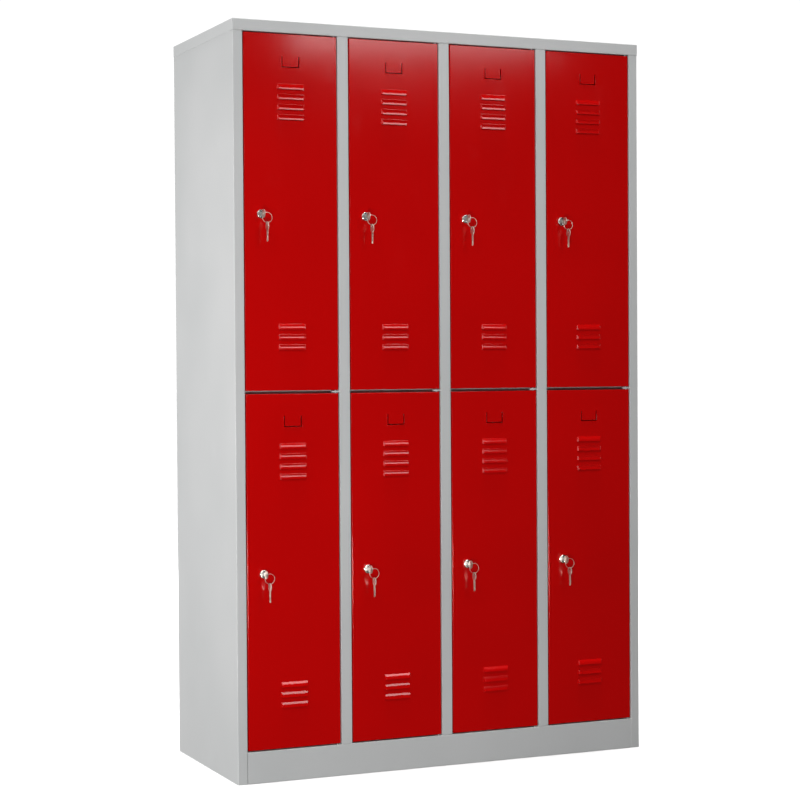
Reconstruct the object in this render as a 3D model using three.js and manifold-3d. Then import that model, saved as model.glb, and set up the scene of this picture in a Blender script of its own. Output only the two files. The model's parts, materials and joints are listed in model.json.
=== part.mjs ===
// A sheet-steel locker cabinet: columns of two lockers, one above the other, each behind its own door.
// Every door turns on a rod at its right edge and shuts with a cam lock whose key is also its handle.
// Millimetres, +Z up, the doors face -Y. The origin is at floor level, in the middle of the box that
// the cabinet and the keys standing out of its doors take up.
import * as THREE from "three";
import { mergeVertices } from "three/addons/utils/BufferGeometryUtils.js";
import Module from "manifold-3d";

const wasm = await Module();
wasm.setup();

// ---------------------------------------------------------------- driving dimensions

const cabinet = { width: 1180, depth: 500, height: 1950 };
const columnCount = 4;
const tierNames = ["lower", "upper"]; // from the floor up

const sheet = 0.8; // body and door steel
const backSheet = 0.6;
const fit = 0.3; // between two pieces that touch
const drillThrough = 1; // how far a cutting tool runs past the face it leaves

const uprightFace = 26; // the side panel's front fold, as seen from the front
const postFace = 30; // the channel on a partition's front edge
const stopLip = 8; // behind the lock edge of a door
const stopGap = 1.2; // from the back of a door to its stop
const rearFlange = 14;
const lid = { lip: 30, ledge: 22 }; // the folded-down edge, and the ledge folded back from it in front
const plinth = { height: 82, foot: 16 };
const shelf = { flange: 26, setBack: 2, overGap: 3 };
const hingeTab = { thickness: 4, reach: 20, depth: 13 };

const door = { depth: 18, lip: 12, endGap: 3, tierGap: 8 };
const rod = { radius: 3, inset: 6, grip: 3 }; // inset: from the door's edge, and from its face
const labelClip = { width: 52, height: 30, bar: 4, proud: 1.2, belowTop: 57 };
const louvre = { length: 73, height: 13, proud: 5, wall: 1, pitch: 26 };
const topLouvres = { count: 4, fromEnd: 134 };
const bottomLouvres = { count: 3, fromEnd: 112 };

const lock = { fromEdge: 44, belowMiddle: 5 };
const barrel = { radius: 9, rim: 11.5, rimProud: 3.5, rimBevel: 1, tail: 1, sides: 16 };
const plug = { radius: 6, sides: 14 };
const cam = { width: 16, thickness: 2.5, gap: 1, shortOfPost: 4 };
const key = { thickness: 1.8, blade: 7, inLock: 20, neck: 6, bow: 10.5, eye: 4, eyeFromTip: 6 };
const keyRing = { radius: 13, wire: 0.7, lean: 38, steps: 18, wireSides: 6 };
const keyBite = 0.2; // how far the spare key's eye sinks into the ring that it hangs from
const arcSteps = 7; // half the steps round each end, bow and eye of the keys and cams

// ---------------------------------------------------------------- places worked out from them

const frontY = -cabinet.depth / 2 + sheet + fit; // the plane of the posts and of the closed doors
const backY = cabinet.depth / 2 - sheet - fit; // the back panel's outer face
const flangeY = backY - backSheet - fit; // rear face of the flanges that carry the back panel
const innerBackY = flangeY - sheet - fit; // as far back as the shelves and the floor reach
const sideX = cabinet.width / 2 - sheet - fit; // outer face of a side panel
const bodyTop = cabinet.height - sheet - fit;
const railBottom = cabinet.height - lid.lip;
const doorBackY = frontY + door.depth;
const flankBackY = doorBackY + stopGap + sheet; // how far back the posts' flanks run
const camY = flankBackY + cam.gap;
const pinY = frontY + rod.inset;

// A door's corner swings out of its own width by this much as the door turns on its rod.
const sideGap = rod.inset * (Math.SQRT2 - 1) + fit;
const openingWidth = (2 * sideX - 2 * uprightFace - (columnCount - 1) * postFace) / columnCount;
const columnPitch = openingWidth + postFace;
const doorWidth = openingWidth - 2 * sideGap;
const tierCount = tierNames.length;
const doorsHeight = railBottom - plinth.height - 2 * door.endGap - (tierCount - 1) * door.tierGap;
const doorHeight = doorsHeight / tierCount;

const openingLeft = (column) => -sideX + uprightFace + column * columnPitch;
const doorLeft = (column) => openingLeft(column) + sideGap;
const doorBottom = (tier) => plinth.height + door.endGap + tier * (doorHeight + door.tierGap);
const partitionX = (index) => openingLeft(index) + openingWidth + postFace / 2;
const pinX = (column) => doorLeft(column) + doorWidth - rod.inset;
const lockX = (column) => doorLeft(column) + lock.fromEdge;
const lockZ = (tier) => doorBottom(tier) + doorHeight / 2 - lock.belowMiddle;
const tierGaps = tierNames.slice(1).map((_, tier) => ({
  bottom: doorBottom(tier) + doorHeight,
  middle: doorBottom(tier) + doorHeight + door.tierGap / 2,
  top: doorBottom(tier + 1),
}));

// ---------------------------------------------------------------- solids

function solidOf(geometry) {
  const bare = geometry.index ? geometry.toNonIndexed() : geometry.clone();
  bare.deleteAttribute("normal");
  bare.deleteAttribute("uv");
  const merged = mergeVertices(bare, 1e-4);
  return new wasm.Manifold(
    new wasm.Mesh({
      numProp: 3,
      vertProperties: merged.attributes.position.array,
      triVerts: new Uint32Array(merged.index.array),
    }),
  );
}

function geometryOf(solid) {
  const mesh = solid.getMesh();
  const geometry = new THREE.BufferGeometry();
  geometry.setAttribute("position", new THREE.BufferAttribute(mesh.vertProperties, 3));
  geometry.setIndex(new THREE.BufferAttribute(mesh.triVerts, 1));
  geometry.computeVertexNormals();
  return geometry;
}

const union = (solids) => solids.reduce((whole, piece) => whole.add(piece));

function block([x0, x1], [y0, y1], [z0, z1]) {
  const geometry = new THREE.BoxGeometry(x1 - x0, y1 - y0, z1 - z0);
  return solidOf(geometry.translate((x0 + x1) / 2, (y0 + y1) / 2, (z0 + z1) / 2));
}

// A rod along Z.
function uprightCylinder(radius, x, y, [z0, z1], sides = 12) {
  const geometry = new THREE.CylinderGeometry(radius, radius, z1 - z0, sides);
  return solidOf(geometry.rotateX(Math.PI / 2).translate(x, y, (z0 + z1) / 2));
}

// The outline of a sheet folded along a path of points, with its thickness on the path's left.
function foldedOutline(path, thickness) {
  const points = path.map(([a, b]) => new THREE.Vector2(a, b));
  const leftOf = (i) => {
    const along = points[i + 1].clone().sub(points[i]).normalize();
    return new THREE.Vector2(-along.y, along.x);
  };
  const inner = points.map((point, i) => {
    const before = leftOf(Math.max(i - 1, 0));
    const after = leftOf(Math.min(i, points.length - 2));
    const mitre = before.clone().add(after);
    return point.clone().addScaledVector(mitre, thickness / (1 + before.dot(after)));
  });
  return new THREE.Shape([...points, ...inner.reverse()]);
}

const extruded = (shape, depth, curveSegments = arcSteps) =>
  new THREE.ExtrudeGeometry(shape, { depth, bevelEnabled: false, curveSegments });

// A fold in plan, standing from z0 to z1.
function standingFold(path, [z0, z1], thickness = sheet) {
  const geometry = extruded(foldedOutline(path, thickness), z1 - z0);
  return solidOf(geometry.translate(0, 0, z0));
}

// A section given as (y, z), running from x0 to x1.
function alongX(shape, [x0, x1]) {
  const turn = new THREE.Matrix4().makeBasis(
    new THREE.Vector3(0, 1, 0),
    new THREE.Vector3(0, 0, 1),
    new THREE.Vector3(1, 0, 0),
  );
  return solidOf(extruded(shape, x1 - x0).applyMatrix4(turn).translate(x0, 0, 0));
}

// A profile of (radius, y) turned round the Y axis.
function turned(profile, sides) {
  const points = profile.map(([radius, y]) => new THREE.Vector2(radius, y));
  return solidOf(new THREE.LatheGeometry(points, sides));
}

// ---------------------------------------------------------------- cabinet body

const allAcross = [-cabinet.width, cabinet.width];
const allUp = [-cabinet.height, cabinet.height];

// Room in the posts for the ledge behind the lid's front lip.
const ledgeNotch = () =>
  block(
    allAcross,
    [frontY - drillThrough, -cabinet.depth / 2 + sheet + lid.ledge + fit],
    [railBottom - fit, cabinet.height],
  );

const pinHoles = ([z0, z1]) =>
  union(
    Array.from({ length: columnCount }, (_, column) =>
      uprightCylinder(rod.radius + fit, pinX(column), pinY, [z0, z1]),
    ),
  );

// The tabs that stand out of a post to the left, one in each gap between doors.
const hingeTabs = (flankX) =>
  tierGaps.map(({ middle }) =>
    block(
      [flankX - hingeTab.reach, flankX + sheet / 2],
      [frontY + sheet, frontY + sheet + hingeTab.depth],
      [middle - hingeTab.thickness / 2, middle + hingeTab.thickness / 2],
    ),
  );

// What every upright of the body has in common: hinge tabs, their holes and the notch for the lid.
const upright = (pieces, tabsAt) =>
  union([...pieces, ...(tabsAt === undefined ? [] : hingeTabs(tabsAt))])
    .subtract(pinHoles([plinth.height + fit, railBottom - drillThrough]))
    .subtract(ledgeNotch());

// The left panel's front fold ends in a door stop, because the first column's locks shut against it.
function leftSidePanel() {
  const flankX = -sideX + uprightFace;
  const path = [
    [-sideX + rearFlange, flangeY],
    [-sideX, flangeY],
    [-sideX, frontY],
    [flankX, frontY],
    [flankX, flankBackY - sheet],
    [flankX + stopLip, flankBackY - sheet],
  ];
  return upright([standingFold(path, [0, bodyTop])]);
}

// The right panel's front fold carries the last column's hinge tabs.
function rightSidePanel() {
  const flankX = sideX - uprightFace;
  const path = [
    [flankX, flankBackY],
    [flankX, frontY],
    [sideX, frontY],
    [sideX, flangeY],
    [sideX - rearFlange, flangeY],
  ];
  return upright([standingFold(path, [0, bodyTop])], flankX);
}

// A web with a channel on its front edge: hinge tabs on the channel's left, a door stop on its right.
function partition(index) {
  const x = partitionX(index);
  const [leftX, rightX] = [x - postFace / 2, x + postFace / 2];
  const channel = [
    [leftX, flankBackY],
    [leftX, frontY],
    [rightX, frontY],
    [rightX, flankBackY - sheet],
    [rightX + stopLip, flankBackY - sheet],
  ];
  const web = [
    [x + sheet / 2, frontY + sheet / 2],
    [x + sheet / 2, flangeY],
    [x + sheet / 2 - rearFlange, flangeY],
  ];
  const standing = [plinth.height + fit, bodyTop];
  return upright([standingFold(channel, standing), standingFold(web, standing)], leftX);
}

function topPanel() {
  const [halfWidth, halfDepth] = [cabinet.width / 2, cabinet.depth / 2];
  const outside = block(
    [-halfWidth, halfWidth],
    [-halfDepth, halfDepth],
    [railBottom, cabinet.height],
  );
  const inside = block(
    [-halfWidth + sheet, halfWidth - sheet],
    [-halfDepth + sheet, halfDepth - sheet],
    [railBottom - drillThrough, cabinet.height - sheet],
  );
  const ledgeHalf = sideX - sheet - fit;
  const ledge = block(
    [-ledgeHalf, ledgeHalf],
    [-halfDepth + sheet / 2, -halfDepth + sheet + lid.ledge],
    [railBottom, railBottom + sheet],
  );
  const holes = pinHoles([railBottom - drillThrough, railBottom + sheet + drillThrough]);
  return outside.subtract(inside).add(ledge).subtract(holes);
}

// The floor, folded down in front as the plinth and behind as a rear leg.
function baseTray() {
  const half = sideX - sheet - fit;
  const path = [
    [innerBackY, 0],
    [innerBackY, plinth.height],
    [frontY, plinth.height],
    [frontY, 0],
    [frontY + plinth.foot, 0],
  ];
  const tray = alongX(foldedOutline(path, sheet), [-half, half]);
  const edge = sideX - uprightFace - fit;
  const front = [frontY - drillThrough, flankBackY + fit];
  const leftNotch = block([-cabinet.width, -edge], front, allUp);
  const rightNotch = block([edge, cabinet.width], front, allUp);
  const stopNotch = block(
    [-cabinet.width, -edge + stopLip],
    [flankBackY - sheet - fit, flankBackY + fit],
    allUp,
  );
  const holes = pinHoles([plinth.height - sheet - drillThrough, plinth.height + drillThrough]);
  return tray.subtract(union([leftNotch, rightNotch, stopNotch, holes]));
}

const backPanel = () => block([-sideX, sideX], [backY - backSheet, backY], [0, bodyTop]);

// The floor of the locker above a gap between doors. Its front flange shuts that gap off inside.
function shelfIn(column, gap) {
  const left = column === 0 ? -sideX + sheet : partitionX(column - 1) + sheet / 2;
  const right = column === columnCount - 1 ? sideX - sheet : partitionX(column) - sheet / 2;
  const top = gap.top + shelf.overGap;
  const path = [
    [innerBackY, top - shelf.flange],
    [innerBackY, top],
    [flankBackY + shelf.setBack, top],
    [flankBackY + shelf.setBack, top - shelf.flange],
  ];
  return alongX(foldedOutline(path, sheet), [left + fit, right - fit]);
}

// ---------------------------------------------------------------- doors

// A louvre is pressed outwards and is open at its foot. Both outlines are (y, z) about its own middle.
function louvreParts(x, z) {
  const half = louvre.height / 2;
  const hood = new THREE.Shape([
    new THREE.Vector2(sheet / 2, half),
    new THREE.Vector2(0, half),
    new THREE.Vector2(-louvre.proud, -half),
    new THREE.Vector2(sheet / 2, -half),
  ]);
  const hollow = new THREE.Shape([
    new THREE.Vector2(louvre.wall, half),
    new THREE.Vector2(louvre.wall - louvre.proud, -half),
    new THREE.Vector2(louvre.wall - louvre.proud, -half - drillThrough),
    new THREE.Vector2(louvre.wall, -half - drillThrough),
  ]);
  const reach = louvre.length / 2;
  const inside = reach - louvre.wall;
  return {
    hood: alongX(hood, [-reach, reach]).translate([x, frontY, z]),
    hollow: alongX(hollow, [-inside, inside]).translate([x, frontY, z]),
  };
}

// A frame that is open at its top holds a name card by its sides and its foot.
function labelFrame(x, top) {
  const half = labelClip.width / 2;
  const frame = block(
    [x - half, x + half],
    [frontY - labelClip.proud, frontY + sheet / 2],
    [top - labelClip.height, top],
  );
  const window = block(
    [x - half + labelClip.bar, x + half - labelClip.bar],
    [frontY - labelClip.proud - drillThrough, frontY],
    [top - labelClip.height + labelClip.bar, top + drillThrough],
  );
  return frame.subtract(window);
}

function doorPanel(column, tier) {
  const [left, right] = [doorLeft(column), doorLeft(column) + doorWidth];
  const [bottom, top] = [doorBottom(tier), doorBottom(tier) + doorHeight];
  const middle = (left + right) / 2;
  const outside = block([left, right], [frontY, doorBackY], [bottom, top]);
  const folds = block(
    [left + sheet, right - sheet],
    [frontY + sheet, doorBackY - sheet],
    [bottom + sheet, top - sheet],
  );
  const mouth = block(
    [left + door.lip, right - door.lip],
    [frontY + sheet, doorBackY + drillThrough],
    [bottom + door.lip, top - door.lip],
  );
  const lockHole = turned(
    [
      [0, -drillThrough],
      [barrel.radius + fit, -drillThrough],
      [barrel.radius + fit, sheet + drillThrough],
      [0, sheet + drillThrough],
    ],
    barrel.sides,
  ).translate([lockX(column), frontY, lockZ(tier)]);
  const rodHole = uprightCylinder(rod.radius + fit, pinX(column), pinY, [
    bottom - drillThrough,
    top + drillThrough,
  ]);
  const louvreHeights = [
    ...Array.from({ length: topLouvres.count }, (_, i) => top - topLouvres.fromEnd - i * louvre.pitch),
    ...Array.from(
      { length: bottomLouvres.count },
      (_, i) => bottom + bottomLouvres.fromEnd + i * louvre.pitch,
    ),
  ];
  const louvres = louvreHeights.map((z) => louvreParts(middle, z));
  const added = [labelFrame(middle, top - labelClip.belowTop), ...louvres.map((one) => one.hood)];
  const removed = [folds, mouth, lockHole, rodHole, ...louvres.map((one) => one.hollow)];
  return outside.add(union(added)).subtract(union(removed));
}

// The rod runs the whole height of its door, and turns in the body above and below it.
function hingeRod(column, tier) {
  const low = tier === 0 ? plinth.height - sheet - rod.grip : tierGaps[tier - 1].middle + fit / 2;
  const high = tier === tierCount - 1 ? railBottom + sheet + rod.grip : tierGaps[tier].middle - fit / 2;
  return uprightCylinder(rod.radius, pinX(column), pinY, [low, high]);
}

// ---------------------------------------------------------------- locks and keys, about the lock's axis

// The rim bears on the door's face, and the tail stands just out of the back of the door.
function lockBarrel() {
  const bore = plug.radius + fit;
  const tail = door.depth + barrel.tail;
  return turned(
    [
      [bore, -barrel.rimProud],
      [barrel.rim - barrel.rimBevel, -barrel.rimProud],
      [barrel.rim, -barrel.rimProud + barrel.rimBevel],
      [barrel.rim, -fit],
      [barrel.radius, -fit],
      [barrel.radius, tail],
      [bore, tail],
      [bore, -barrel.rimProud],
    ],
    barrel.sides,
  );
}

// The plug turns in the barrel. The cam on its tail stands up while the door is unlocked, and reaches
// behind the door stop once it is turned to the left.
function lockCam() {
  const camFront = camY - frontY;
  const plugEnd = camFront + cam.thickness / 2;
  const body = turned(
    [
      [0, -barrel.rimProud + fit],
      [plug.radius, -barrel.rimProud + fit],
      [plug.radius, plugEnd],
      [0, plugEnd],
    ],
    plug.sides,
  );
  const half = cam.width / 2;
  const endMiddle = lock.fromEdge + sideGap - cam.shortOfPost - half;
  const outline = new THREE.Shape();
  outline.absarc(0, endMiddle, half, 0, Math.PI, false);
  outline.absarc(0, 0, half, Math.PI, 2 * Math.PI, false);
  const plate = extruded(outline, cam.thickness).rotateX(Math.PI / 2);
  const slot = block(
    [-key.thickness / 2 - fit, key.thickness / 2 + fit],
    [-barrel.rimProud, key.inLock + fit],
    [-key.blade / 2 - fit, key.blade / 2 + fit],
  );
  const camPlate = solidOf(plate.translate(0, camFront + cam.thickness, 0));
  return body.add(camPlate).subtract(slot);
}

const bladeLength = key.inLock + barrel.rimProud + key.neck;
const eyeToBow = key.bow - key.eyeFromTip;
const eyeY = key.inLock - bladeLength - 2 * key.bow + key.eyeFromTip; // from the door's face

// A key's outline, with its eye at the origin and its blade running along the first axis.
function keyOutline() {
  const half = key.blade / 2;
  const shoulder = Math.asin(half / key.bow);
  const tip = eyeToBow + key.bow + bladeLength;
  const outline = new THREE.Shape();
  outline.moveTo(tip, -half);
  outline.lineTo(tip, half);
  outline.absarc(eyeToBow, 0, key.bow, shoulder, 2 * Math.PI - shoulder, false);
  const eye = new THREE.Path();
  eye.absarc(0, 0, key.eye, 0, 2 * Math.PI, false);
  outline.holes.push(eye);
  return outline;
}

const keyPlate = () => alongX(keyOutline(), [-key.thickness / 2, key.thickness / 2]);

const keyInLock = () => keyPlate().translate([0, eyeY, 0]);

// The ring goes through the eye of the key in the lock and hangs down to the right of it, so that the
// key can turn inside the ring. The spare key hangs from the ring's foot.
function spareKey() {
  const lean = THREE.MathUtils.degToRad(keyRing.lean);
  const ring = new THREE.TorusGeometry(
    keyRing.radius,
    keyRing.wire,
    keyRing.wireSides,
    keyRing.steps,
  );
  ring.rotateZ(Math.PI / 2 + lean).rotateX(Math.PI / 2);
  const middle = [Math.sin(lean) * keyRing.radius, 0, -Math.cos(lean) * keyRing.radius];
  const ringTop = middle[2] - keyRing.radius + keyRing.wire;
  const spare = keyPlate().rotate([-90, 0, 0]);
  const spareAt = [middle[0], 0, ringTop - keyBite - key.eye];
  return solidOf(ring).translate(middle).add(spare.translate(spareAt)).translate([0, eyeY, 0]);
}

// ---------------------------------------------------------------- assembly

const finishes = {
  lightGrey: new THREE.MeshStandardMaterial({ color: 0xc9cccb, roughness: 0.5, metalness: 0 }),
  red: new THREE.MeshStandardMaterial({ color: 0xb00006, roughness: 0.3, metalness: 0 }),
  zinc: new THREE.MeshStandardMaterial({ color: 0x9a9c9c, roughness: 0.4, metalness: 1 }),
  chrome: new THREE.MeshStandardMaterial({ color: 0xd8d8d6, roughness: 0.15, metalness: 1 }),
  nickel: new THREE.MeshStandardMaterial({ color: 0xb9b6a8, roughness: 0.25, metalness: 1 }),
};

const locker = new THREE.Group();

function place(name, solid, finish, [x, y, z] = [0, 0, 0]) {
  const mesh = new THREE.Mesh(geometryOf(solid), finishes[finish]);
  mesh.name = name;
  mesh.position.set(x, y, z);
  locker.add(mesh);
}

place("left_side_panel", leftSidePanel(), "lightGrey");
place("right_side_panel", rightSidePanel(), "lightGrey");
place("top_panel", topPanel(), "lightGrey");
place("base_tray", baseTray(), "lightGrey");
place("back_panel", backPanel(), "lightGrey");
for (let index = 0; index < columnCount - 1; index++) {
  place(`partition_${index + 1}`, partition(index), "lightGrey");
}

for (let column = 0; column < columnCount; column++) {
  tierGaps.forEach((gap, level) => {
    place(`shelf_${tierNames[level + 1]}_${column + 1}`, shelfIn(column, gap), "lightGrey");
  });
  tierNames.forEach((tierName, tier) => {
    const label = `${tierName}_${column + 1}`;
    const lockAt = [lockX(column), frontY, lockZ(tier)];
    place(`door_${label}`, doorPanel(column, tier), "red");
    place(`hinge_rod_${label}`, hingeRod(column, tier), "zinc");
    place(`lock_barrel_${label}`, lockBarrel(), "chrome", lockAt);
    place(`lock_cam_${label}`, lockCam(), "zinc", lockAt);
    place(`key_${label}`, keyInLock(), "nickel", lockAt);
    place(`spare_key_${label}`, spareKey(), "nickel", lockAt);
  });
}

// The origin goes to the middle of the box, at floor level.
const outside = new THREE.Box3().setFromObject(locker);
locker.position.y = -(outside.min.y + outside.max.y) / 2;

export default locker;
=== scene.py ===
import bpy
import json
import math
from mathutils import Matrix, Quaternion, Vector


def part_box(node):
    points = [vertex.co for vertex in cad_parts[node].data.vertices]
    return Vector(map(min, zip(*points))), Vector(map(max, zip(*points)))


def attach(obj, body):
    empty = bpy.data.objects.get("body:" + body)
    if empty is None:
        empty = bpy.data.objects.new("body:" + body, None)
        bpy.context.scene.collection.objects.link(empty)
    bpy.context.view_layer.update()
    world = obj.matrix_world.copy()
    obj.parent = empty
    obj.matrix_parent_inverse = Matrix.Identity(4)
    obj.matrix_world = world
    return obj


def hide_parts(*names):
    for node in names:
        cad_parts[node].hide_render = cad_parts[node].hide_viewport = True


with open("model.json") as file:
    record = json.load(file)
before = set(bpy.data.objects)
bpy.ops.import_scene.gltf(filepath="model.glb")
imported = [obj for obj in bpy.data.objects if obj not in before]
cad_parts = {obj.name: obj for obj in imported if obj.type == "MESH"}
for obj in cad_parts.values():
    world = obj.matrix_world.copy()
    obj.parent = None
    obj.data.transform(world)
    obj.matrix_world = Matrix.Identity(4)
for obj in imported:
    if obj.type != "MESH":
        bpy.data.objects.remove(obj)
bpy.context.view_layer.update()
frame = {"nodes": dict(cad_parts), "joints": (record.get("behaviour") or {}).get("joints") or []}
print("frame loaded,", len(frame["nodes"]), "nodes")

mm = 0.001
sheet = 0.8 * mm  # body and door steel
near = 0.01 * mm  # closer than this is the same place
gap = 0.3 * mm  # between pieces that just clear each other
past = 2 * mm  # how far a cutter reaches past what it cuts
foldSteps = 4  # segments in a rounded fold
columns = (1, 2, 3, 4)
labels = [f"{tier}_{column}" for tier in ("lower", "upper") for column in columns]
lockAt = {joint["name"].removeprefix("lock_").removesuffix("_turn"): Vector(joint["pos_m"])
          for joint in frame["joints"]
          if joint["name"].startswith("lock_")}  # where each lock's axis meets the face of its door
faceY = lockAt["lower_1"].y  # the plane of the closed doors and of the posts between them


def only(*objects):
    bpy.ops.object.select_all(action="DESELECT")
    for obj in objects:
        obj.select_set(True)
    bpy.context.view_layer.objects.active = objects[0]


def added(name):  # settles the primitive that was just added, with its place in its mesh
    obj = bpy.context.object
    obj.name = obj.data.name = name
    bpy.ops.object.transform_apply(location=True, rotation=True, scale=True)
    only(obj)
    return obj


def addPlate(name, low, high):  # a rectangle between two corners that share one coordinate
    low, high = Vector(low), Vector(high)
    size = high - low
    flat = min(range(3), key=lambda axis: abs(size[axis]))
    turn = [(0, math.pi / 2, 0), (math.pi / 2, 0, 0), (0, 0, 0)][flat]
    scale = [(size.z, size.y, 1), (size.x, size.z, 1), (size.x, size.y, 1)][flat]
    bpy.ops.object.select_all(action="DESELECT")
    bpy.ops.mesh.primitive_plane_add(size=1, location=(low + high) / 2, rotation=turn)
    bpy.context.object.scale = [abs(length) for length in scale]
    return added(name)


def addBlock(name, low, high, turn=(0, 0, 0)):
    low, high = Vector(low), Vector(high)
    bpy.ops.object.select_all(action="DESELECT")
    bpy.ops.mesh.primitive_cube_add(size=1, location=(low + high) / 2, rotation=turn)
    bpy.context.object.scale = high - low
    return added(name)


def addRound(name, radius, start, end, sides=32):  # a rod between two points
    start, end = Vector(start), Vector(end)
    bpy.ops.object.select_all(action="DESELECT")
    bpy.ops.mesh.primitive_cylinder_add(vertices=sides, radius=radius, depth=(end - start).length,
                                        location=(start + end) / 2)
    bpy.context.object.rotation_euler = (end - start).to_track_quat("Z", "Y").to_euler()
    return added(name)


def pick(obj, kind, test):  # selects the faces or edges that pass a test, and stays in edit mode
    only(obj)
    bpy.ops.object.mode_set(mode="EDIT")
    bpy.ops.mesh.select_mode(type=kind)
    bpy.ops.mesh.select_all(action="DESELECT")
    bpy.ops.object.mode_set(mode="OBJECT")
    for item in obj.data.edges if kind == "EDGE" else obj.data.polygons:
        item.select = bool(test(item))
    bpy.ops.object.mode_set(mode="EDIT")


def pickAll(obj, kind="FACE"):
    pick(obj, kind, lambda item: True)


def done():
    bpy.ops.object.mode_set(mode="OBJECT")


def along(obj, axis, *places):  # a test for an edge that lies in one of the planes at these places
    def test(edge):
        ends = [obj.data.vertices[i].co[axis] for i in edge.vertices]
        return any(all(abs(end - place) < near for end in ends) for place in places)
    return test


def extent(obj, edge, axis):  # how far an edge runs in the direction of an axis
    first, second = [obj.data.vertices[i].co[axis] for i in edge.vertices]
    return abs(first - second)


def cutAt(obj, axis, *places):  # slices the whole mesh at these places
    normal = [float(axis == i) for i in range(3)]
    for place in places:
        pickAll(obj)
        bpy.ops.mesh.bisect(plane_co=[place * n for n in normal], plane_no=normal)
        done()


def modify(obj, kind, **settings):
    only(obj)
    modifier = obj.modifiers.new(kind.title(), kind)
    for name, value in settings.items():
        setattr(modifier, name, value)
    bpy.ops.object.modifier_apply(modifier=modifier.name)
    return obj


def thicken(obj):  # gives a bent surface the thickness of the sheet
    return modify(obj, "SOLIDIFY", thickness=sheet, offset=-1, use_even_offset=True)


def carve(obj, *tools, how="DIFFERENCE"):
    for tool in tools:
        modify(obj, "BOOLEAN", object=tool, operation=how, solver="EXACT")
        bpy.data.objects.remove(tool)
    return obj


def roundEdges(obj, width, steps=2, angle=40):
    return modify(obj, "BEVEL", width=width, segments=steps, limit_method="ANGLE",
                  angle_limit=math.radians(angle))


def smooth(obj, angle=35):  # round where it is round, and flat faces stay flat
    only(obj)
    bpy.ops.object.shade_smooth_by_angle(angle=math.radians(angle))
    return modify(obj, "WEIGHTED_NORMAL", keep_sharp=True, weight=60)


def outwards(obj):
    pickAll(obj)
    bpy.ops.mesh.remove_doubles(threshold=0.001 * mm)
    bpy.ops.mesh.normals_make_consistent(inside=False)
    done()


def joined(first, *others):
    only(first, *others)
    bpy.ops.object.join()
    return first


def copyOf(obj, name, move=(0, 0, 0)):
    twin = obj.copy()
    twin.data = obj.data.copy()
    twin.name = twin.data.name = name
    bpy.context.scene.collection.objects.link(twin)
    twin.data.transform(Matrix.Translation(move))
    return twin


def finishPiece(obj, body, slot, material, *standsFor):
    obj.data.materials.clear()
    obj.data.materials.append(material)
    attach(obj, body)
    if standsFor:
        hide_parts(*standsFor)
    return obj


# A sheet folded along a path: a strip is drawn from fold to fold, its folds are rounded, and it gets
# its thickness on the path's left. The path's points are places on the two axes named by plane.
def foldSheet(name, path, plane, span, bend):
    run = 3 - sum(plane)

    def at(point, place):
        spot = Vector((0, 0, 0))
        spot[plane[0]], spot[plane[1]], spot[run] = *point, place
        return spot

    def onLine(point):  # a test for the edge that runs through a point of the path
        tests = [along(obj, plane[i], point[i]) for i in (0, 1)]
        return lambda edge: all(test(edge) for test in tests)

    obj = addPlate(name, at(path[0], span[0]), at(path[1], span[1]))
    for here, there in zip(path[1:], path[2:]):
        pick(obj, "EDGE", onLine(here))
        bpy.ops.mesh.extrude_edges_move(TRANSFORM_OT_translate={"value": at(there, 0) - at(here, 0)})
        done()
    folds = [onLine(point) for point in path[1:-1]]
    pick(obj, "EDGE", lambda edge: any(fold(edge) for fold in folds))
    bpy.ops.mesh.bevel(offset=bend, segments=foldSteps, affect="EDGES")
    done()
    onFirst = min(obj.data.polygons, key=lambda face: (face.center - at(path[0], sum(span) / 2)).length)
    step = Vector(path[1]) - Vector(path[0])
    left = at((-step.y, step.x), 0)
    if onFirst.normal.dot(left) > 0:
        pickAll(obj)
        bpy.ops.mesh.flip_normals()
        done()
    return thicken(obj)


# A turned part: a circle is drawn from station to station along Y. Each station is (radius, y).
def turnPart(name, middle, stations, sides=48, hollow=False):
    bpy.ops.object.select_all(action="DESELECT")
    radius, y = stations[0]
    bpy.ops.mesh.primitive_circle_add(vertices=sides, radius=radius, location=middle + Vector((0, y, 0)),
                                      rotation=(math.pi / 2, 0, 0),
                                      fill_type="NOTHING" if hollow else "NGON")
    obj = added(name)
    pickAll(obj, "EDGE")
    for (radius, y), (nextRadius, nextY) in zip(stations, stations[1:]):
        bpy.ops.mesh.extrude_edges_move(TRANSFORM_OT_translate={"value": (0, nextY - y, 0)})
        share = nextRadius / radius
        bpy.ops.transform.resize(value=(share, 1, share), center_override=middle + Vector((0, nextY, 0)))
    done()
    pick(obj, "EDGE", lambda edge: False)
    bpy.ops.mesh.select_mode(type="EDGE")
    bpy.ops.mesh.select_non_manifold()
    if hollow:
        bpy.ops.mesh.bridge_edge_loops()
    else:
        bpy.ops.mesh.edge_face_add()
    done()
    outwards(obj)
    return obj


class Maths:  # a value in a shader, worked on with ordinary arithmetic
    def __init__(self, graph, socket):
        self.graph, self.socket = graph, socket

    def worked(self, operation, first, second):
        return self.graph.node("ShaderNodeMath", {"operation": operation}, {0: first, 1: second})

    def __add__(self, other):
        return self.worked("ADD", self, other)

    def __radd__(self, other):
        return self.worked("ADD", other, self)

    def __sub__(self, other):
        return self.worked("SUBTRACT", self, other)

    def __rsub__(self, other):
        return self.worked("SUBTRACT", other, self)

    def __mul__(self, other):
        return self.worked("MULTIPLY", self, other)

    def __rmul__(self, other):
        return self.worked("MULTIPLY", other, self)


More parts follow.
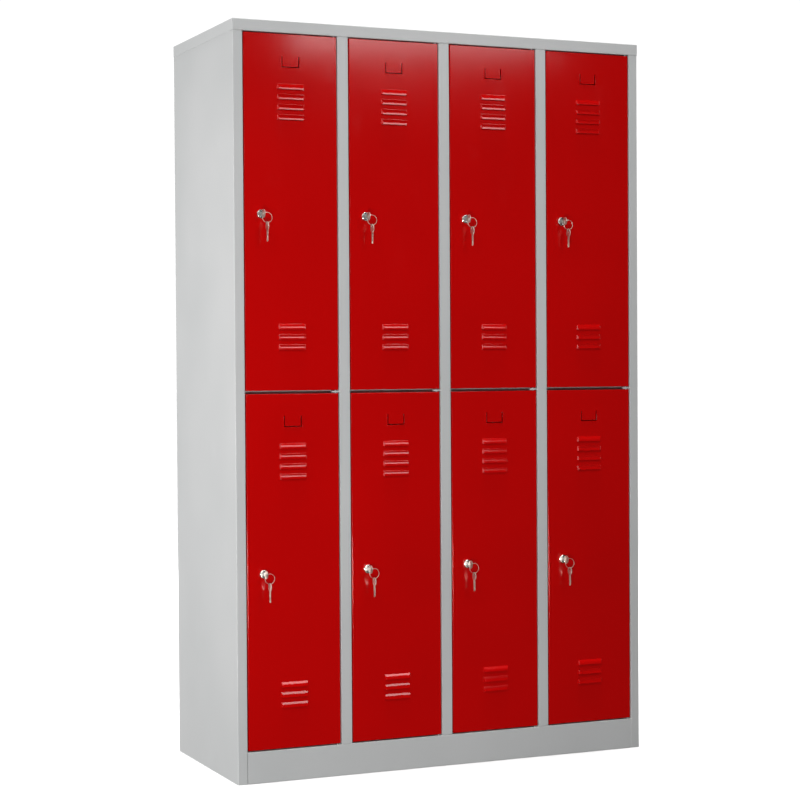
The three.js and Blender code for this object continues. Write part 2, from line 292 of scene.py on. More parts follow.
class Graph:  # a material's nodes
    def __init__(self, name):
        self.material = bpy.data.materials.new(name)
        self.material.use_nodes = True
        self.tree = self.material.node_tree
        self.tree.nodes.clear()
        self.place = self.node("ShaderNodeTexCoord", out="Object")

    def node(self, kind, settings=None, values=None, out=0):
        made = self.tree.nodes.new(kind)
        for name, value in (settings or {}).items():
            setattr(made, name, value)
        for name, value in (values or {}).items():
            self.set(made.inputs[name], value)
        return Maths(self, made.outputs[out]) if made.outputs else None

    def set(self, socket, value):
        if isinstance(value, Maths):
            self.tree.links.new(value.socket, socket)
        else:
            socket.default_value = value

    def noise(self, scale, detail=3.0, roughness=0.5, stretch=(1, 1, 1)):
        place = self.node("ShaderNodeMapping", None, {"Vector": self.place, "Scale": stretch})
        return self.node("ShaderNodeTexNoise", None,
                         {"Vector": place, "Scale": scale, "Detail": detail, "Roughness": roughness})

    def between(self, value, low, high):  # 0 up to low, 1 from high on
        return self.node("ShaderNodeMapRange", {"clamp": True},
                         {"Value": value, "From Min": low, "From Max": high})

    def blend(self, factor, first, second):
        return self.node("ShaderNodeMix", {"data_type": "RGBA"}, {0: factor, 6: first, 7: second}, out=2)

    def bump(self, height, strength, distance):
        return self.node("ShaderNodeBump", None,
                         {"Height": height, "Strength": strength, "Distance": distance})

    def surface(self, **inputs):
        shader = self.node("ShaderNodeBsdfPrincipled", None, inputs)
        self.node("ShaderNodeOutputMaterial", None, {"Surface": shader})
        return self.material


def colour(red, green, blue):
    return (red, green, blue, 1.0)


# Powder coat: a fine orange peel, a slow drift of tone, and a few faint scuffs that are duller.
def powderCoat(name, paint):
    graph = Graph(name)
    drift = graph.between(graph.noise(scale=2.6, detail=2.0), low=0.3, high=0.7)
    speckle = graph.between(graph.noise(scale=900.0, detail=1.0), low=0.35, high=0.65)
    marks = graph.noise(scale=16.0, detail=6.0, roughness=0.62, stretch=(1.0, 1.0, 0.35))
    scuffs = graph.between(marks, low=0.58, high=0.72)
    tone = graph.blend(drift, paint["dark"], paint["light"])
    tone = graph.blend(speckle * paint["speckle"], tone, paint["dark"])
    peel = graph.noise(scale=paint["peelScale"], detail=2.0, roughness=0.45)
    return graph.surface(**{
        "Base Color": tone,
        "Roughness": paint["roughness"] + drift * paint["drift"] + scuffs * paint["scuff"],
        "Normal": graph.bump(peel, paint["peel"], distance=0.4 * mm),
        "Specular IOR Level": paint["specular"],
    })


# Plated or bare metal: the tone and the gloss vary, with fine lines from polishing or drawing.
def plated(name, plate):
    graph = Graph(name)
    cloud = graph.between(graph.noise(scale=90.0, detail=4.0), low=0.3, high=0.7)
    lines = graph.noise(scale=plate["lineScale"], detail=2.0, stretch=plate["lineStretch"])
    spots = graph.between(graph.noise(scale=420.0, detail=3.0, roughness=0.6), low=0.62, high=0.72)
    tone = graph.blend(cloud, plate["dark"], plate["light"])
    tone = graph.blend(spots * plate["wear"], tone, plate["worn"])
    return graph.surface(**{
        "Base Color": tone,
        "Metallic": 1.0,
        "Roughness": plate["roughness"] + cloud * plate["cloud"] + spots * plate["spots"],
        "Normal": graph.bump(lines, plate["lines"], distance=0.1 * mm),
    })


bodyPaint = powderCoat("light grey powder coat", {
    "dark": colour(0.575, 0.585, 0.585), "light": colour(0.625, 0.63, 0.63), "speckle": 0.12,
    "peelScale": 420.0, "peel": 0.10, "roughness": 0.42, "drift": 0.03, "scuff": 0.10, "specular": 0.45})
doorPaint = powderCoat("signal red powder coat", {
    "dark": colour(0.55, 0.0, 0.0), "light": colour(0.60, 0.0, 0.0), "speckle": 0.12,
    "peelScale": 380.0, "peel": 0.08, "roughness": 0.10, "drift": 0.03, "scuff": 0.05, "specular": 0.45})
zincPlate = plated("bright zinc plate", {
    "dark": colour(0.42, 0.43, 0.44), "light": colour(0.62, 0.63, 0.65), "worn": colour(0.35, 0.34, 0.31),
    "wear": 0.4, "roughness": 0.30, "cloud": 0.08, "spots": 0.2,
    "lines": 0.15, "lineScale": 160.0, "lineStretch": (12.0, 12.0, 0.3)})
chromePlate = plated("polished chrome plate", {
    "dark": colour(0.80, 0.77, 0.74), "light": colour(0.90, 0.87, 0.84), "worn": colour(0.6, 0.58, 0.55),
    "wear": 0.15, "roughness": 0.08, "cloud": 0.08, "spots": 0.2,
    "lines": 0.03, "lineScale": 300.0, "lineStretch": (1.0, 8.0, 1.0)})
nickelPlate = plated("worn nickel plate", {
    "dark": colour(0.62, 0.56, 0.48), "light": colour(0.80, 0.74, 0.65), "worn": colour(0.50, 0.38, 0.20),
    "wear": 0.35, "roughness": 0.34, "cloud": 0.08, "spots": 0.2,
    "lines": 0.08, "lineScale": 260.0, "lineStretch": (1.0, 6.0, 1.0)})
print("materials made")


body = {
    "uprightFace": 26 * mm,  # the side panels' front folds
    "postFace": 30 * mm,
    "stopLip": 8 * mm,  # door stop behind the lock edge
    "rearFlange": 14 * mm,
    "bend": 1.8 * mm,
    "plinthFoot": 16 * mm,
    "beforeShelf": 2 * mm,  # from the flanks of the posts to the shelves
    "ledge": 22 * mm,  # under the lid, behind its front
    "ledgeShare": 0.995,  # of the lid's width
    "tab": {"thickness": 4 * mm, "reach": 20 * mm, "depth": 13 * mm,
            "nose": 5 * mm, "noseSteps": 6, "soft": 0.4 * mm},
}
leftLow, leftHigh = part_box("left_side_panel")
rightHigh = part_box("right_side_panel")[1]
lidLow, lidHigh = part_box("top_panel")
doorLow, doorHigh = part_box("door_lower_1")
flangeY = leftHigh.y
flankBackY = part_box("shelf_upper_1")[0].y - body["beforeShelf"]
tabZ = (doorHigh.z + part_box("door_upper_1")[0].z) / 2


def ledgeNotch():  # room in the posts for the ledge behind the lid's lip
    return addBlock("notch", (lidLow.x, faceY - past, lidLow.z - gap),
                    (lidHigh.x, lidLow.y + body["ledge"] + sheet + gap, lidHigh.z + mm))


def hingeTab(flankX):  # the tab that a column's doors turn on, welded to the post on its right
    tab = body["tab"]
    tip = flankX - tab["reach"]
    low, high = tabZ - tab["thickness"] / 2, tabZ + tab["thickness"] / 2
    front = faceY + sheet
    obj = addBlock("tab", (tip, front, low), (flankX + sheet / 2, front + tab["depth"], high))
    atTip, flat = along(obj, 0, tip), along(obj, 2, low, high)
    pick(obj, "EDGE", lambda edge: atTip(edge) and not flat(edge))
    bpy.ops.mesh.bevel(offset=tab["nose"], segments=tab["noseSteps"], affect="EDGES")
    done()
    return roundEdges(obj, tab["soft"])


def buildSides():
    flankX = leftLow.x + body["uprightFace"]
    left = foldSheet("left_side", [
        (leftLow.x + body["rearFlange"], flangeY), (leftLow.x, flangeY), (leftLow.x, faceY),
        (flankX, faceY), (flankX, flankBackY - sheet), (flankX + body["stopLip"], flankBackY - sheet)],
        (0, 1), (0, leftHigh.z), body["bend"])
    carve(left, ledgeNotch())
    finishPiece(smooth(left), "cabinet", "body_paint", bodyPaint, "left_side_panel")
    flankX = rightHigh.x - body["uprightFace"]
    right = foldSheet("right_side", [
        (flankX, flankBackY), (flankX, faceY), (rightHigh.x, faceY), (rightHigh.x, flangeY),
        (rightHigh.x - body["rearFlange"], flangeY)], (0, 1), (0, rightHigh.z), body["bend"])
    carve(right, ledgeNotch())
    right = joined(right, hingeTab(flankX))
    finishPiece(smooth(right), "cabinet", "body_paint", bodyPaint, "right_side_panel")


def buildPartitions():  # a folded post in front and a web behind it, each with the ledge's notch
    for index in columns[:-1]:
        low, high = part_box(f"partition_{index}")
        rightX = high.x - body["stopLip"]
        leftX = rightX - body["postFace"]
        webX = (leftX + rightX) / 2 + sheet / 2
        post = foldSheet("post", [
            (leftX, flankBackY), (leftX, faceY), (rightX, faceY), (rightX, flankBackY - sheet),
            (rightX + body["stopLip"], flankBackY - sheet)], (0, 1), (low.z, high.z), body["bend"])
        web = foldSheet("web", [
            (webX, faceY + sheet), (webX, flangeY), (webX - body["rearFlange"], flangeY)],
            (0, 1), (low.z, high.z), body["bend"])
        carve(post, ledgeNotch())
        carve(web, ledgeNotch())
        piece = joined(post, web, hingeTab(leftX))
        piece.name = piece.data.name = f"post_{index}"
        finishPiece(smooth(piece), "cabinet", "body_paint", bodyPaint, f"partition_{index}")


def buildLid():  # a pressed tray, open below, with a ledge behind its front
    obj = addBlock("lid", lidLow, lidHigh)
    pick(obj, "FACE", lambda face: face.normal.z < -0.9)
    bpy.ops.mesh.delete(type="FACE")
    done()
    front, foot = along(obj, 1, lidLow.y), along(obj, 2, lidLow.z)
    pick(obj, "EDGE", lambda edge: front(edge) and foot(edge))
    bpy.ops.mesh.extrude_edges_move(TRANSFORM_OT_translate={"value": (0, body["ledge"] + sheet, 0)})
    bpy.ops.transform.resize(value=(body["ledgeShare"], 1, 1))
    done()
    faceCount = {}
    for face in obj.data.polygons:
        for edgeKey in face.edge_keys:
            faceCount[edgeKey] = faceCount.get(edgeKey, 0) + 1
    pick(obj, "EDGE", lambda edge: faceCount[edge.key] == 2)  # a fold has a face on each side
    bpy.ops.mesh.bevel(offset=body["bend"], segments=foldSteps, affect="EDGES")
    done()
    finishPiece(smooth(thicken(obj)), "cabinet", "body_paint", bodyPaint, "top_panel")


def buildTray():
    low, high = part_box("base_tray")
    tray = foldSheet("tray", [
        (high.y, 0), (high.y, high.z), (faceY, high.z), (faceY, 0), (faceY + body["plinthFoot"], 0)],
        (1, 2), (low.x, high.x), body["bend"])
    inner = leftLow.x + body["uprightFace"] + gap
    stop = inner + body["stopLip"]
    ahead, behind, above = faceY - mm, flankBackY + gap, high.z + mm
    carve(tray,  # room for the uprights and the left one's door stop
          addBlock("cut", (low.x - mm, ahead, -mm), (inner, behind, above)),
          addBlock("cut", (low.x - mm, flankBackY - sheet - gap, -mm), (stop, behind + near, above)),
          addBlock("cut", (-inner, ahead, -mm), (high.x + mm, behind, above)))
    finishPiece(smooth(tray), "cabinet", "body_paint", bodyPaint, "base_tray")


def buildShelves():
    for column in columns:
        low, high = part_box(f"shelf_upper_{column}")
        shelf = foldSheet(f"shelf_{column}", [
            (high.y, low.z), (high.y, high.z), (low.y, high.z), (low.y, low.z)],
            (1, 2), (low.x, high.x), body["bend"])
        finishPiece(smooth(shelf), "cabinet", "body_paint", bodyPaint, f"shelf_upper_{column}")


backPanel = {
    "soft": 0.2 * mm,
    "rivet": 2.6 * mm,
    "rivetProud": 0.8 * mm,
    "seated": 0.2 * mm,  # how deep a rivet starts in the sheet
    "inFromEdge": 8 * mm,
    "fromEnds": 60 * mm,
    "rows": 9,
}


def buildBack():  # a flat sheet, riveted to the side panels' and the partitions' rear flanges
    low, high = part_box("back_panel")
    panel = roundEdges(addBlock("back_sheet", low, high), backPanel["soft"], 1)
    radius, proud = backPanel["rivet"], backPanel["rivetProud"]
    rivet = turnPart("rivet", Vector((0, high.y, 0)), [
        (radius, -backPanel["seated"]), (radius, 0.3 * proud), (0.75 * radius, 0.85 * proud),
        (0.3 * radius, proud)], 12)
    fromRight = body["stopLip"] + body["postFace"] / 2 + body["rearFlange"] / 2
    posts = [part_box(f"partition_{index}")[1].x - fromRight for index in columns[:-1]]
    heads = []
    for x in [low.x + backPanel["inFromEdge"], *posts, high.x - backPanel["inFromEdge"]]:
        for row in range(backPanel["rows"]):
            share = row / (backPanel["rows"] - 1)
            z = backPanel["fromEnds"] + share * (lidLow.z - 2 * backPanel["fromEnds"])
            heads.append(copyOf(rivet, "head", (x, 0, z)))
    bpy.data.objects.remove(rivet)
    panel = joined(panel, *heads)
    finishPiece(smooth(panel), "cabinet", "body_paint", bodyPaint, "back_panel")


buildSides()
buildPartitions()
buildLid()
buildTray()
buildShelves()
buildBack()
print("body built")


door = {
    "lip": 12 * mm,
    "bend": 1.5 * mm,
    "louvre": {"length": 73 * mm, "height": 13 * mm, "proud": 5 * mm, "shoulder": 1.0 * mm,
               "drop": 2.5 * mm, "slope": 2.2 * mm, "pitch": 26 * mm,
               "brow": 2.8 * mm, "browSteps": 5, "soft": 0.7 * mm, "softSteps": 3},
    "topLouvres": (4, 134 * mm),  # how many, and how far the first is from the door's end
    "bottomLouvres": (3, 112 * mm),
    "lockHole": 9.3 * mm,
    "cardFrame": {"width": 52 * mm, "height": 30 * mm, "lip": 1.9 * mm, "slit": 2.3 * mm, "proud": 1.2 * mm,
                  "soft": 0.45 * mm, "belowTop": 57 * mm},
}
doorMiddle = (doorLow.x + doorHigh.x) / 2
cardTop = doorHigh.z - door["cardFrame"]["belowTop"]


def pressLouvres(obj):
    louvre = door["louvre"]
    half, reach = louvre["height"] / 2, louvre["length"] / 2
    count, first = door["topLouvres"]
    heights = [doorHigh.z - first - i * louvre["pitch"] for i in range(count)]
    count, first = door["bottomLouvres"]
    heights += [doorLow.z + first + i * louvre["pitch"] for i in range(count)]
    cutAt(obj, 0, doorMiddle - reach, doorMiddle + reach)
    cutAt(obj, 2, *[z + side * half for z in heights for side in (-1, 1)])
    pick(obj, "FACE", lambda face: abs(face.center.x - doorMiddle) < mm
         and any(abs(face.center.z - z) < mm for z in heights))
    bpy.ops.mesh.inset(thickness=louvre["slope"], use_individual=True)
    bpy.ops.transform.translate(value=(0, -louvre["proud"], -louvre["slope"]))
    done()
    hoodTops = [z + half - 2 * louvre["slope"] for z in heights]
    onHood = along(obj, 1, faceY - louvre["proud"])
    atTop = along(obj, 2, *hoodTops)
    pick(obj, "EDGE", lambda edge: onHood(edge) and atTop(edge))
    bpy.ops.transform.translate(value=(0, louvre["shoulder"], -louvre["drop"]))
    done()
    atBrow = along(obj, 2, *[z - louvre["drop"] for z in hoodTops])
    pick(obj, "EDGE", lambda edge: atBrow(edge) and obj.data.vertices[edge.vertices[0]].co.y < faceY - mm)
    bpy.ops.mesh.bevel(offset=louvre["brow"], segments=louvre["browSteps"], affect="EDGES")
    done()
    # The hood is open below.
    pick(obj, "FACE", lambda face: abs(face.normal.z) > 0.9 and face.center.y < faceY - mm)
    bpy.ops.mesh.delete(type="FACE")
    done()
    feet = along(obj, 2, *[z - half for z in heights])
    slack = 0.1 * mm

    def isRidge(edge):  # the hood's edges and the crease where it leaves the door, but not its open foot
        if feet(edge):
            return False
        spots = [obj.data.vertices[i].co for i in edge.vertices]
        if any(spot.y < faceY - slack for spot in spots):
            return extent(obj, edge, 0) < reach
        return (all(abs(spot.x - doorMiddle) < reach + slack for spot in spots)
                and any(all(abs(spot.z - z) < half + slack for spot in spots) for z in heights))
    pick(obj, "EDGE", isRidge)
    bpy.ops.mesh.bevel(offset=louvre["soft"], segments=louvre["softSteps"], affect="EDGES")
    done()


def cardSlits():  # three slits, one beside each arm of the card frame
    card = door["cardFrame"]
    foot = cardTop - card["height"] + card["lip"]
    outer = card["width"] / 2 - card["lip"]
    inner = outer - card["slit"]
    overlap = 0.1 * mm
    ahead, behind = faceY - past, faceY + past
    return [addBlock("slit", (doorMiddle - outer, ahead, foot), (doorMiddle - inner, behind, cardTop)),
            addBlock("slit", (doorMiddle + inner, ahead, foot), (doorMiddle + outer, behind, cardTop)),
            addBlock("slit", (doorMiddle - inner - overlap, ahead, foot),
                     (doorMiddle + inner + overlap, behind, foot + card["slit"]))]


def buildDoor():
    obj = addPlate("door", (doorLow.x, faceY, doorLow.z), (doorHigh.x, faceY, doorHigh.z))
    pressLouvres(obj)
    sides, ends = along(obj, 0, doorLow.x, doorHigh.x), along(obj, 2, doorLow.z, doorHigh.z)
    pick(obj, "EDGE", lambda edge: sides(edge) or ends(edge))
    bpy.ops.mesh.extrude_edges_move(TRANSFORM_OT_translate={"value": (0, doorHigh.y - faceY, 0)})
    bpy.ops.mesh.extrude_edges_move(TRANSFORM_OT_translate={"value": (0, 0, 0)})
    width, height = doorHigh.x - doorLow.x, doorHigh.z - doorLow.z
    bpy.ops.transform.resize(value=(1 - 2 * door["lip"] / width, 1, 1 - 2 * door["lip"] / height),
                             center_override=(doorLow + doorHigh) / 2)
    done()

    def isFold(edge):  # round the face, round the back, and through the depth at the four corners
        spots = [obj.data.vertices[i].co for i in edge.vertices]
        atSide = all(min(abs(spot.x - x) for x in (doorLow.x, doorHigh.x)) < near for spot in spots)
        atEnd = all(min(abs(spot.z - z) for z in (doorLow.z, doorHigh.z)) < near for spot in spots)
        if extent(obj, edge, 1) > mm:
            return atSide and atEnd
        return atSide and extent(obj, edge, 0) < near or atEnd and extent(obj, edge, 2) < near
    pick(obj, "EDGE", isFold)
    bpy.ops.mesh.bevel(offset=door["bend"], segments=foldSteps, affect="EDGES")
    done()
    thicken(obj)
    modify(obj, "TRIANGULATE", min_vertices=5)  # the hoods' bent corners would open in the cuts below
    at, reach = lockAt["lower_1"], Vector((0, 5 * mm, 0))
    carve(obj, addRound("hole", door["lockHole"], at - reach, at + reach, 48), *cardSlits())
    return smooth(obj)


def buildCardFrame():  # the lips that hold a name card, on three sides
    card = door["cardFrame"]
    half, front = card["width"] / 2, faceY - card["proud"]
    inner, foot = half - card["lip"], cardTop - card["height"]
    obj = addBlock("card_frame", (doorMiddle - half, front, foot),
                   (doorMiddle + half, faceY - 0.05 * mm, cardTop))
    carve(obj, addBlock("window", (doorMiddle - inner, front - mm, foot + card["lip"]),
                        (doorMiddle + inner, faceY + mm, cardTop + mm)))
    return smooth(roundEdges(obj, card["soft"], 3))


doorPiece = buildDoor()
framePiece = buildCardFrame()
for label in labels:
    move = lockAt[label] - lockAt["lower_1"]
    onDoor = f"door_{label}"
    finishPiece(copyOf(doorPiece, f"panel_{label}", move), onDoor, "door_paint", doorPaint, f"door_{label}")
    finishPiece(copyOf(framePiece, f"card_frame_{label}", move), onDoor, "door_paint", doorPaint)
bpy.data.objects.remove(doorPiece)
bpy.data.objects.remove(framePiece)
print("doors built")

hingeRod = {"sides": 24, "soft": 0.8 * mm, "softSteps": 3}
for label in labels:
    low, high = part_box(f"hinge_rod_{label}")
    middle = (low + high) / 2
    rod = addRound("rod", (high.x - low.x) / 2, (middle.x, middle.y, low.z), (middle.x, middle.y, high.z),
                   hingeRod["sides"])
    roundEdges(rod, hingeRod["soft"], hingeRod["softSteps"])
    rod.name = rod.data.name = f"pivot_rod_{label}"
    finishPiece(smooth(rod), f"door_{label}", "rod_zinc", zincPlate, f"hinge_rod_{label}")
print("hinge rods built")


lock = {
    "rim": 11.5 * mm, "rimProud": 3.5 * mm, "tail": 19 * mm, "thread": 9 * mm, "bore": 6.3 * mm,
    "dish": (7.4 * mm, 8.0 * mm, 1.2 * mm),  # radius at its floor, radius at its mouth, depth
    "rimEdge": [(1.6 * mm, 0), (0.5 * mm, 0.6 * mm), (0, 1.8 * mm)],  # in from the rim, back from its front
    "soft": 0.25 * mm,
    "plug": 6 * mm, "plugBehind": 0.8 * mm, "plugEdge": 0.4 * mm,
    "slot": (2.4 * mm, 7.6 * mm, 20.3 * mm),
    "nut": {"across": 24 * mm, "thickness": 4 * mm, "clear": 0.05 * mm, "play": 0.15 * mm,
            "soft": 0.3 * mm},
    "cam": {"width": 16 * mm, "thickness": 2.5 * mm, "front": 21 * mm, "reach": 34.785 * mm,
            "roundSteps": 10, "soft": 0.3 * mm},
    "screw": {"radius": 4.2 * mm, "height": 2.2 * mm, "cross": (0.45 * mm, 2.4 * mm)},
}
key = {
    "thickness": 1.8 * mm, "blade": 7 * mm, "inLock": 20 * mm, "neck": 6 * mm, "bow": 10.5 * mm,
    "inBow": 2 * mm,  # where the blade starts, past the middle of the bow
    "eye": 4 * mm, "eyeFromTip": 6 * mm, "point": 2.4 * mm,
    "teeth": (4 * mm, 7.2 * mm, 10.5 * mm, 13.6 * mm), "tooth": 1.3 * mm,
    "groove": {"depth": 0.35 * mm, "length": 27 * mm, "sides": (-1.6 * mm, -0.2 * mm)},
    "soft": 0.2 * mm,
}
ring = {"radius": 13 * mm, "wire": (0.5 * mm, 0.24 * mm), "pitch": 0.5 * mm, "steps": 40,
        "lean": math.radians(38)}
home = lockAt["lower_1"]


def buildBarrel():
    rim, front, thread, bore = lock["rim"], -lock["rimProud"], lock["thread"], lock["bore"]
    floorRadius, mouthRadius, depth = lock["dish"]
    obj = turnPart("barrel", home, [
        (bore, front + depth), (floorRadius, front + depth), (mouthRadius, front),
        *[(rim - inwards, front + back) for inwards, back in lock["rimEdge"]],
        (rim, -gap), (thread, -gap), (thread, lock["tail"]), (bore, lock["tail"])], 64, hollow=True)
    return smooth(roundEdges(obj, lock["soft"], 2, 25), 40)


def buildNut():  # the hexagon nut that holds the barrel in the door
    nut, thread = lock["nut"], lock["thread"]
    front = sheet + nut["clear"]
    rear = front + nut["thickness"]
    corner = nut["across"] / 2 / math.cos(math.pi / 6)
    within = thread + 0.1 * mm  # the six-sided hole that the bore is cut through
    obj = turnPart("nut", home, [(within, front), (corner, front), (corner, rear), (within, rear)],
                   6, hollow=True)
    bore = addRound("bore", thread + nut["play"], home - Vector((0, mm, 0)),
                    home + Vector((0, 12 * mm, 0)), 48)
    return smooth(roundEdges(carve(obj, bore), nut["soft"], 2))


def buildCam():
    cam, front, radius = lock["cam"], -lock["rimProud"] + lock["plugBehind"], lock["plug"]
    edge = lock["plugEdge"]
    plug = turnPart("plug", home, [
        (radius - edge, front), (radius, front + edge),
        (radius, cam["front"] + 0.5 * cam["thickness"])], 48)
    width, height, depth = lock["slot"]
    slot = addBlock("slot", home + Vector((-width / 2, -5 * mm, -height / 2)),
                    home + Vector((width / 2, depth, height / 2)))
    carve(plug, slot)
    half = cam["width"] / 2
    plate = addBlock("plate", home + Vector((-half, cam["front"], -half)),
                     home + Vector((half, cam["front"] + cam["thickness"], cam["reach"])))
    pick(plate, "EDGE", lambda edge: extent(plate, edge, 1) > mm)
    roundOff = half - 0.02 * mm  # just short of meeting in the middle
    bpy.ops.mesh.bevel(offset=roundOff, segments=cam["roundSteps"], affect="EDGES")
    done()
    roundEdges(plate, cam["soft"])
    return smooth(joined(plug, plate))


def buildScrew():  # the screw that holds the cam, with a cross slot
    screw, rear = lock["screw"], lock["cam"]["front"] + lock["cam"]["thickness"]
    radius, height = screw["radius"], screw["height"]
    obj = turnPart("screw", home, [
        (radius, rear), (radius, rear + 0.45 * height), (0.8 * radius, rear + 0.85 * height),
        (0.35 * radius, rear + height)], 32)
    narrow, long = screw["cross"]
    for wide, tall in ((narrow, long), (long, narrow)):
        carve(obj, addBlock("cross", home + Vector((-wide, rear + 0.5 * height, -tall)),
                            home + Vector((wide, rear + 2 * height, tall))))
    return smooth(obj)


def buildKey():  # the key lies along Y, with its eye at the origin
    half, flat = key["blade"] / 2, key["thickness"] / 2
    toBow = key["bow"] - key["eyeFromTip"]
    tip = toBow + key["bow"] + key["inLock"] + lock["rimProud"] + key["neck"]
    obj = addRound("key", key["bow"], (-flat, toBow, 0), (flat, toBow, 0), 56)
    blade = addBlock("blade", (-flat, toBow + key["inBow"], -half), (flat, tip, half))
    atTip = along(blade, 1, tip)
    pick(blade, "EDGE", lambda edge: atTip(edge) and extent(blade, edge, 0) > 0.1 * mm)
    bpy.ops.mesh.bevel(offset=key["point"], segments=1, affect="EDGES")
    done()
    carve(obj, blade, how="UNION")
    carve(obj, addRound("eye", key["eye"], (-3 * flat, 0, 0), (3 * flat, 0, 0), 40))
    tooth = key["tooth"]
    for place in key["teeth"]:  # a square cutter turned on its corner
        carve(obj, addBlock("notch", (-3 * flat, tip - place - tooth, half - tooth),
                            (3 * flat, tip - place + tooth, half + tooth), (math.pi / 4, 0, 0)))
    groove = key["groove"]
    low, high = groove["sides"]
    for side in (-flat, flat):  # the milled groove on each face
        carve(obj, addBlock("groove", (side - groove["depth"], tip - groove["length"], low),
                            (side + groove["depth"], tip + mm, high)))
    return smooth(roundEdges(obj, key["soft"], 2, 50))


def buildRing():  # a split ring: two turns of flat wire, side by side, round the origin
    wire, pitch, steps = ring["wire"], ring["pitch"], ring["steps"]
    start = Vector((ring["radius"], -pitch, 0))
    bpy.ops.object.select_all(action="DESELECT")
    bpy.ops.mesh.primitive_circle_add(vertices=12, radius=wire[0], location=start)
    obj = added("ring")
    pickAll(obj, "EDGE")
    bpy.ops.transform.resize(value=(1, wire[1] / wire[0], 1), center_override=start)
    done()
    modify(obj, "SCREW", axis="Y", angle=2 * math.pi, iterations=2, screw_offset=pitch,
           steps=steps, render_steps=steps)
    pickAll(obj)
    bpy.ops.mesh.fill_holes(sides=0)
    done()
    outwards(obj)
    return smooth(obj, 50)


barrelPiece, nutPiece, camPiece, screwPiece = buildBarrel(), buildNut(), buildCam(), buildScrew()
keyPiece, ringPiece = buildKey(), buildRing()
eyeAhead = lock["rimProud"] + key["neck"] + 2 * key["bow"] - key["eyeFromTip"]  # of the face of the door
ringMiddle = Vector((math.sin(ring["lean"]), 0, -math.cos(ring["lean"]))) * ring["radius"]
sparePiece = copyOf(keyPiece, "spare")
sparePiece.data.transform(Matrix.Rotation(-math.pi / 2, 4, "X"))
spareHang = ringMiddle + Vector((0, 0, ring["wire"][0] - ring["radius"] - key["eye"]))
for label in labels:
    move = lockAt[label] - home
    eye = lockAt[label] - Vector((0, eyeAhead, 0))
    onDoor, onLock, onSpare = f"door_{label}", f"lock_{label}", f"spare_{label}"
    finishPiece(copyOf(barrelPiece, f"lock_rose_{label}", move), onDoor, "lock_chrome", chromePlate,
                f"lock_barrel_{label}")
    finishPiece(copyOf(nutPiece, f"lock_nut_{label}", move), onDoor, "rod_zinc", zincPlate)
    finishPiece(copyOf(camPiece, f"cam_{label}", move), onLock, "rod_zinc", zincPlate, f"lock_cam_{label}")
    finishPiece(copyOf(screwPiece, f"cam_screw_{label}", move), onLock, "rod_zinc", zincPlate)
    finishPiece(copyOf(keyPiece, f"lock_key_{label}", eye), onLock, "key_nickel", nickelPlate,
                f"key_{label}")
    finishPiece(copyOf(sparePiece, f"hanging_key_{label}", eye + spareHang), onSpare, "key_nickel",
                nickelPlate, f"spare_key_{label}")
    finishPiece(copyOf(ringPiece, f"split_ring_{label}", eye + ringMiddle), onSpare, "key_nickel",
                nickelPlate)
for piece in (barrelPiece, nutPiece, camPiece, screwPiece, keyPiece, ringPiece, sparePiece):
    bpy.data.objects.remove(piece)
print("locks and keys built")


studio = {
    "floorSize": 60.0,
    "floorTones": (0.86, 0.9),
    "backdrop": 1.05,  # as the camera sees it
    "ambient": 0.05,  # as the cabinet sees it
    "overFloor": 3.9,  # a wide lamp straight above, which the doors hardly catch
    "overFloorWidth": math.radians(14),
    "lights": {  # place, the point it faces, size, watts
        "louvre_glint": ((0.92, -2.4, 2.68), (0.0, -0.2, 1.1), (1.0, 0.87), 16.5),
        "high_left": ((-1.8, -2.6, 3.3), (-0.1, -0.2, 1.1), (2.6, 1.6), 27.0),
        "low_left": ((-1.5, -2.9, 0.2), (-0.35, -0.2, 0.8), (0.9, 0.3), 42.0),
        "left_side": ((-3.6, 0.4, 1.2), (-0.6, 0.0, 0.8), (3.2, 2.3), 104.0),
        "right_fill": ((4.2, 0.2, 2.0), (0.6, 0.0, 1.0), (2.0, 2.4), 60.0),
        "rear_fill": ((1.8, 4.6, 2.6), (0.0, 0.2, 1.0), (2.4, 2.4), 140.0),
    },
}
view = {"place": (-2.2283, -5.0063, 1.0803), "azimuth": -23.7, "elevation": 1.139, "roll": -0.348,
        "lens": 89.21, "sensor": 36}


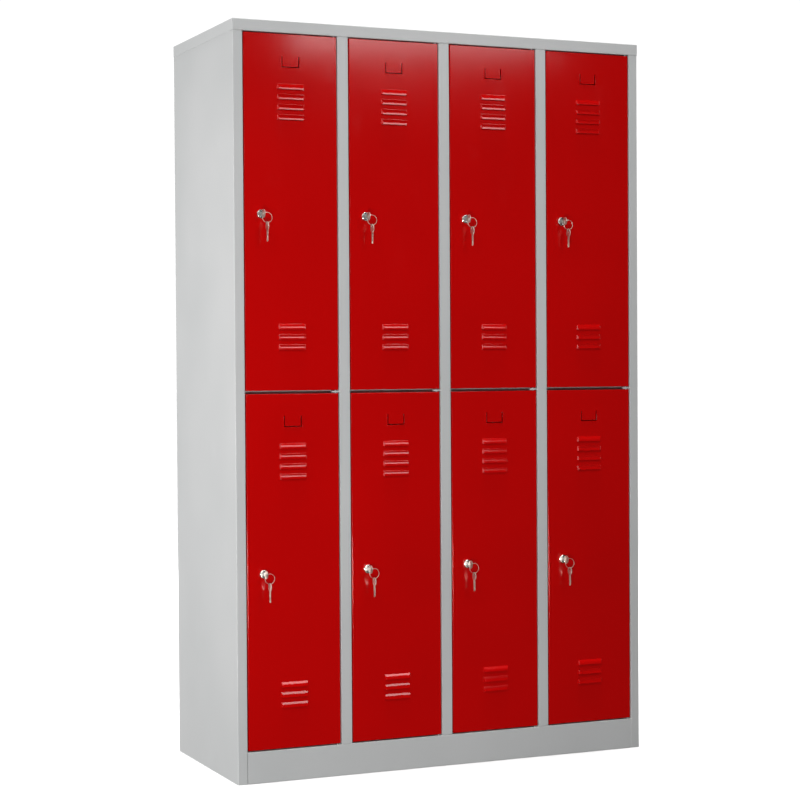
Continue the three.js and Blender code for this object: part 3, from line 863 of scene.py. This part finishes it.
def buildFloor():
    bpy.ops.object.select_all(action="DESELECT")
    bpy.ops.mesh.primitive_plane_add(size=studio["floorSize"])
    floor = added("floor")
    graph = Graph("pale floor")
    dark, light = [colour(tone, tone, tone) for tone in studio["floorTones"]]
    tone = graph.blend(graph.noise(scale=1.5), dark, light)
    floor.data.materials.append(graph.surface(**{"Base Color": tone, "Roughness": 0.8}))
    floor.visible_diffuse = floor.visible_glossy = False  # the doors keep their depth of red


def buildLights():
    for name, (place, target, size, watts) in studio["lights"].items():
        bpy.ops.object.light_add(type="AREA", location=place)
        light = bpy.context.object
        light.name = light.data.name = name
        light.data.shape = "RECTANGLE"
        light.data.size, light.data.size_y = size
        light.data.energy = watts
        light.rotation_euler = (Vector(target) - Vector(place)).to_track_quat("-Z", "Y").to_euler()
        light.visible_camera = False
    bpy.ops.object.light_add(type="SUN", location=(0, 0, 5))
    overhead = bpy.context.object
    overhead.data.energy = studio["overFloor"]
    overhead.data.angle = studio["overFloorWidth"]


def buildWorld():  # bright where the camera looks past the cabinet, and dim as a light
    world = bpy.data.worlds.new("studio")
    bpy.context.scene.world = world
    world.use_nodes = True
    tree = world.node_tree
    background = tree.nodes["Background"]
    background.inputs["Color"].default_value = colour(1, 1, 1)
    rays = tree.nodes.new("ShaderNodeLightPath")
    strength = tree.nodes.new("ShaderNodeMapRange")
    strength.inputs["To Min"].default_value = studio["ambient"]
    strength.inputs["To Max"].default_value = studio["backdrop"]
    tree.links.new(rays.outputs["Is Camera Ray"], strength.inputs["Value"])
    tree.links.new(strength.outputs["Result"], background.inputs["Strength"])


def buildCamera():
    azimuth, elevation = math.radians(view["azimuth"]), math.radians(view["elevation"])
    back = Vector((math.sin(azimuth) * math.cos(elevation), -math.cos(azimuth) * math.cos(elevation),
                   math.sin(elevation)))
    turn = (-back).to_track_quat("-Z", "Y") @ Quaternion((0, 0, 1), math.radians(view["roll"]))
    bpy.ops.object.camera_add(location=view["place"], rotation=turn.to_euler())
    camera = bpy.context.object
    camera.data.lens = view["lens"]
    camera.data.sensor_width = view["sensor"]
    bpy.context.scene.camera = camera


buildFloor()
buildLights()
buildWorld()
buildCamera()
bpy.context.scene.view_settings.view_transform = "Standard"
print("studio ready")
